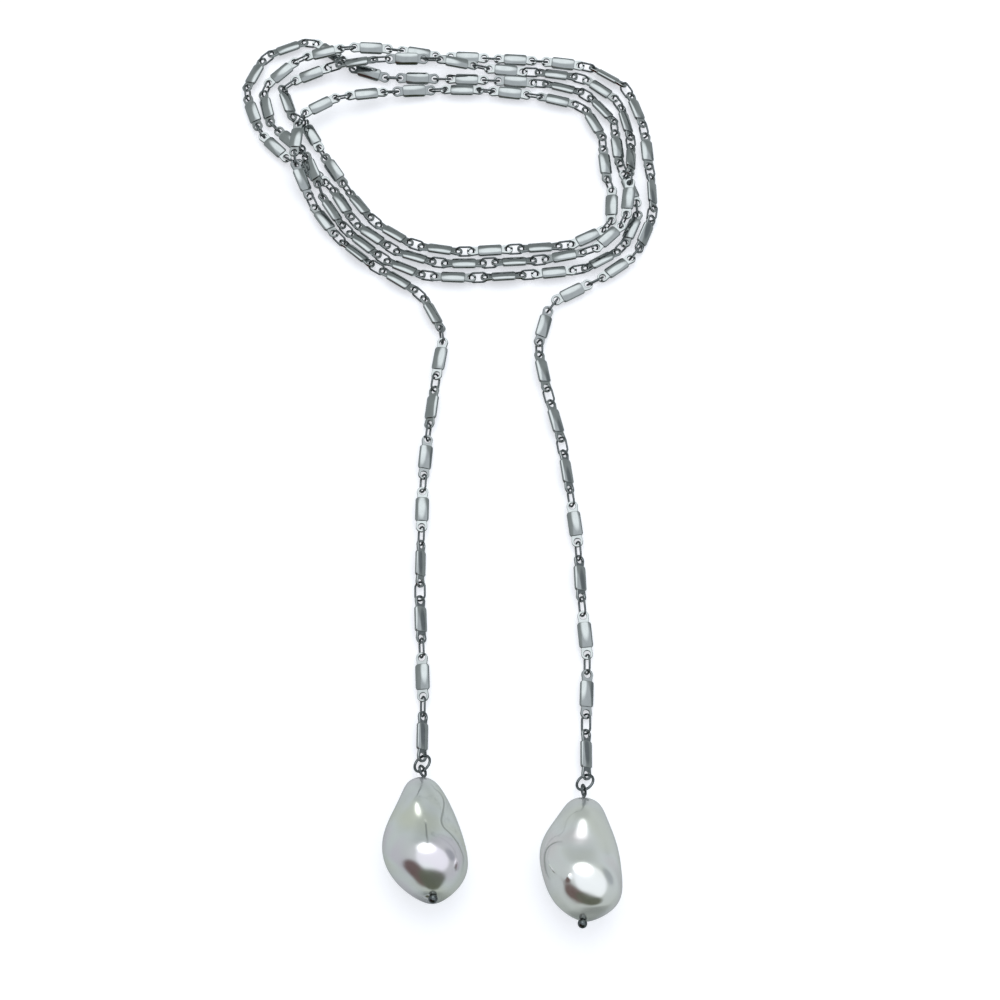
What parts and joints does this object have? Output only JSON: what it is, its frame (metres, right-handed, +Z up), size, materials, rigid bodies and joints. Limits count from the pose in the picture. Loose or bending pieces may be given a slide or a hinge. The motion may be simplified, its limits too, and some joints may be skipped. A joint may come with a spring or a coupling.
{
  "type": "long pearl necklace",
  "caption": "Long open-ended chain necklace of silvery bar links, wound into a loose coil, with a large baroque pearl drop on each free end.",
  "frame": {"origin": "on the table, under the centre of the whole outline of the laid-down necklace", "axes": "+Z up from the table, -Y along the two free ends towards the pearls, +X to the right in the picture"},
  "size_m": [0.1016, 0.2186, 0.0162],
  "materials": {
    "plated_bar": "bright silver-coloured plating, polished",
    "plated_ring": "bright silver-coloured plated wire, polished",
    "plated_pin": "bright silver-coloured plated wire, polished",
    "nacre_left": "lustrous grey-white nacre with a pink and green sheen",
    "nacre_right": "lustrous grey-white nacre with a pink and green sheen"
  },
  "bodies": {
    "root": {"bar_links": "plated_bar", "connector_rings": "plated_ring", "jump_ring_left": "plated_ring", "jump_ring_right": "plated_ring", "head_pin_left": "plated_pin", "head_pin_right": "plated_pin", "pearl_left": "nacre_left", "pearl_right": "nacre_right"}
  },
  "joints": []
}
